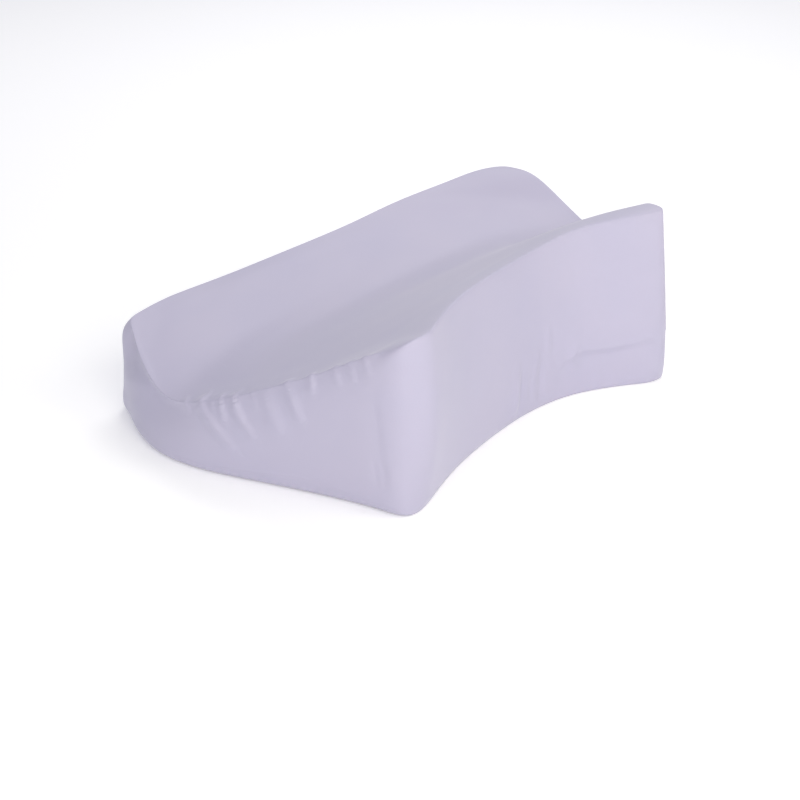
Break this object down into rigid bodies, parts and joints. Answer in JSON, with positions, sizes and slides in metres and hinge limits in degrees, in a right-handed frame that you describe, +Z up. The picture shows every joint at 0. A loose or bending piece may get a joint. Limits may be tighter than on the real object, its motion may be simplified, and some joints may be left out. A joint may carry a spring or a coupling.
{
  "type": "leg pillow",
  "caption": "Contoured foam leg pillow in a plain soft fabric cover, with a scooped leg channel across the top and one inward-curving side wall.",
  "frame": {"origin": "centre of the flat base's bounding box, on the surface the pillow lies on", "axes": "+X along the pillow from its low end to its high end, +Y from the inward-curving front wall to the far wall, +Z up"},
  "size_m": [0.35, 0.251, 0.1245],
  "materials": {
    "cover_fabric": "pale lavender sateen weave with a soft sheen"
  },
  "bodies": {
    "root": {"pillow": "cover_fabric"}
  },
  "joints": []
}
